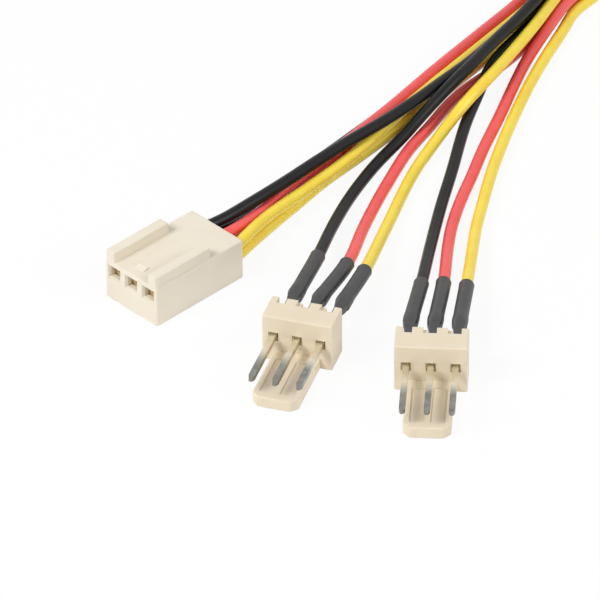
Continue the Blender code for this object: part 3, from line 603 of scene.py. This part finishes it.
def metal(name, roughness, streaks, metallic=1.0):
    """Worn metal: clouded colour, with streaks in its roughness and its surface."""
    low, high = TINTS[name]
    look = Look(name, high, roughness, Metallic=metallic)
    where = look.place()
    look.drive("Base Color", look.ramp(look.noise(where, 0.9, 4.0), ((0.3, low), (0.7, high))))
    worn = look.noise(look.place(streaks), 1.0, 4.0)
    look.drive("Roughness", look.range(worn, roughness - 0.08, roughness + 0.14))
    look.bump(look.noise(look.place(streaks), 2.0, 3.0), 0.10, 0.03)
    return look.material


def pin_metal(plug, pose):
    """Tinned pin: warm beside the housing, where its colour is a painted reflection of the cream nylon,
    greyer and darker on its outer half.
    """
    look = Look(f"tinned_brass_{plug}", PLAIN_PIN, 0.27, Metallic=1.0)
    forward = in_world((0, 0, pose[2]), 0, -1, 0)
    along = look.node("ShaderNodeVectorMath")
    along.operation = "DOT_PRODUCT"
    look.link(look.place(), along.inputs[0])
    along.inputs[1].default_value = forward
    start = pose[0] * forward[0] + pose[1] * forward[1]
    turns = (start + PIN_REACH * share for share in PIN_REFLECTION_FADE)
    outer = look.range(along.outputs["Value"], 0.0, 1.0, *turns)
    smudge = look.noise(look.place(), 1.3, 4.0)
    warm, grey = (look.ramp(smudge, tuple(zip((0.3, 0.7), TINTS[key]))) for key in ("pin_nylon_reflection", "pin_outer"))
    # Painted reflection of the housing near the root, turning to the grey of the outer half
    look.drive("Base Color", look.mix(outer, warm, grey))
    streaks = look.place((1.5, 0.2, 1.5))
    look.drive("Roughness", look.range(look.noise(streaks, 1.0, 4.0), 0.20, 0.40))
    look.bump(look.noise(streaks, 2.0, 3.0), 0.10, 0.03)
    return look.material


def seen_directly(tree):
    """1 for rays from the camera, off a mirror or through glass, and 0 for the light's own rays."""
    path = tree.nodes.new("ShaderNodeLightPath")
    share = path.outputs["Is Camera Ray"]
    for kind in ("Is Glossy Ray", "Is Transmission Ray"):
        larger = tree.nodes.new("ShaderNodeMath")
        larger.operation = "MAXIMUM"
        tree.links.new(share, larger.inputs[0])
        tree.links.new(path.outputs[kind], larger.inputs[1])
        share = larger.outputs[0]
    return share


def floor_white():
    """Matt white that is seen mostly as plain white, with the object's shadow kept."""
    look = Look("floor_white", (FLOOR_GREY, FLOOR_GREY, FLOOR_GREY), 0.9)
    look.set("Specular IOR Level", 0.0)
    glow = look.node("ShaderNodeEmission")
    share = look.maths("MULTIPLY", seen_directly(look.tree), FLOOR_WHITE_SHARE)
    mix = look.node("ShaderNodeMixShader")
    look.link(share, mix.inputs["Fac"])
    look.link(look.shader.outputs[0], mix.inputs[1])
    look.link(glow.outputs[0], mix.inputs[2])
    look.link(mix.outputs[0], look.tree.nodes["Material Output"].inputs["Surface"])
    return look.material


def add_camera():
    a, e, r = (math.radians(v) for v in (AZIMUTH, ELEVATION, ROLL))
    back = Vector((math.sin(a) * math.cos(e), -math.cos(a) * math.cos(e), math.sin(e)))
    right = Vector((math.cos(a), math.sin(a), 0))
    up = back.cross(right)
    right, up = right * math.cos(r) - up * math.sin(r), up * math.cos(r) + right * math.sin(r)
    data = bpy.data.cameras.new("camera")
    data.sensor_fit = "HORIZONTAL"
    data.sensor_width = SENSOR
    data.lens = FOCAL_PIXELS * SENSOR / IMAGE_SIDE
    data.clip_start, data.clip_end = NEAREST * MM, FURTHEST * MM
    camera = bpy.data.objects.new("camera", data)
    place = (Vector(AIM) + back * DISTANCE) * MM
    rotation = Matrix((right, up, back)).transposed().to_4x4()
    camera.matrix_world = Matrix.Translation(place) @ rotation
    bpy.context.scene.collection.objects.link(camera)
    bpy.context.scene.camera = camera


def add_lamps():
    for name, (place, aim, size, watts) in LAMPS.items():
        data = bpy.data.lights.new(name, "AREA")
        data.shape = "RECTANGLE"
        data.size, data.size_y = size[0] * MM, size[1] * MM
        data.energy = watts
        lamp = bpy.data.objects.new(name, data)
        lamp.location = Vector(place) * MM
        lamp.rotation_euler = (Vector(aim) - Vector(place)).to_track_quat("-Z", "Y").to_euler()
        bpy.context.scene.collection.objects.link(lamp)


def add_floor():
    bm = bmesh.new()
    bmesh.ops.create_grid(bm, x_segments=8, y_segments=8, size=FLOOR_HALF * MM)
    mesh = bpy.data.meshes.new("floor")
    bm.to_mesh(mesh)
    bm.free()
    mesh.materials.append(floor_white())
    floor = bpy.data.objects.new("floor", mesh)
    floor.location.z = -FLOOR_DROP * MM
    bpy.context.scene.collection.objects.link(floor)


def add_world():
    """Plain soft light from all round, seen as white."""
    world = bpy.data.worlds.new("studio")
    bpy.context.scene.world = world
    world.use_nodes = True
    tree = world.node_tree
    light = tree.nodes["Background"]
    light.inputs["Strength"].default_value = WORLD_LIGHT
    white = tree.nodes.new("ShaderNodeBackground")
    light.inputs["Color"].default_value = white.inputs["Color"].default_value = (1, 1, 1, 1)
    mix = tree.nodes.new("ShaderNodeMixShader")
    tree.links.new(seen_directly(tree), mix.inputs["Fac"])
    tree.links.new(light.outputs[0], mix.inputs[1])
    tree.links.new(white.outputs[0], mix.inputs[2])
    tree.links.new(mix.outputs[0], tree.nodes["World Output"].inputs["Surface"])


def wire_looks():
    return {
        "black": insulation("insulation_black", 0.27, Specular_IOR_Level=0.20),
        "red": insulation(
            "insulation_red", 0.30, Subsurface_Weight=0.10, Subsurface_Scale=0.0005, Specular_IOR_Level=0.65
        ),
        "yellow": insulation(
            "insulation_yellow", 0.30, Subsurface_Weight=0.12, Subsurface_Scale=0.0006,
            Specular_IOR_Level=0.65,
        ),
    }


def add_strands():
    looks = wire_looks()
    tube = shrink()
    for seed, strand in enumerate(LANES):
        colour, plug = strand.split("_")
        path = strand_path(strand)
        run = run_of(path)
        top = np.array(TO_PLUG[strand][-1])
        length = run[-1] - run[np.linalg.norm(path - top, axis=1).argmin()]
        insulated = PIN_TAIL - SLEEVE_OFFSET + JOINT_LENGTH + 2 * JOINT_GAP
        line = piece_of(path, insulated, run[-1])
        wire = wire_mesh(f"strand_{strand}", line, seed * WIRE_SEED)
        wire.data.materials.append(looks[colour])
        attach(wire, "root")
        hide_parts(f"wire_{strand}")
        sleeve = sleeve_mesh(f"shrunk_sleeve_{strand}", path, length, seed * SLEEVE_SEED)
        sleeve.data.materials.append(tube)
        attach(sleeve, "root")
        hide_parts(f"plug_{plug}_sleeve_{colour}")


def dress_nodes():
    """Gives the construction's own pieces their finish, the key in a node's name choosing it."""
    # The plugs' nylon is darker than the socket's, as painted shade for their shaded fronts
    plug_nylon_painted_shade = nylon("warm_nylon_painted_shade")
    looks = {
        "socket_housing": nylon("cream_nylon"),
        "plug_a_housing": plug_nylon_painted_shade,
        "plug_b_housing": plug_nylon_painted_shade,
        "plug_a_pin_": pin_metal("plug_a", PLUG_A_POSE),
        "plug_b_pin_": pin_metal("plug_b", PLUG_B_POSE),
        "_terminal_": metal("contact_brass", 0.46, (0.4, 0.2, 1.5), 0.5),
        "_joint_": metal("solder", 0.34, (1, 1, 1)),
    }
    for name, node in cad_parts.items():
        for key, look in looks.items():
            if key in name:
                node.data.materials.clear()
                node.data.materials.append(look)


bpy.context.scene.view_settings.view_transform = "Standard"
add_camera()
add_strands()
dress_nodes()
add_floor()
add_world()
add_lamps()
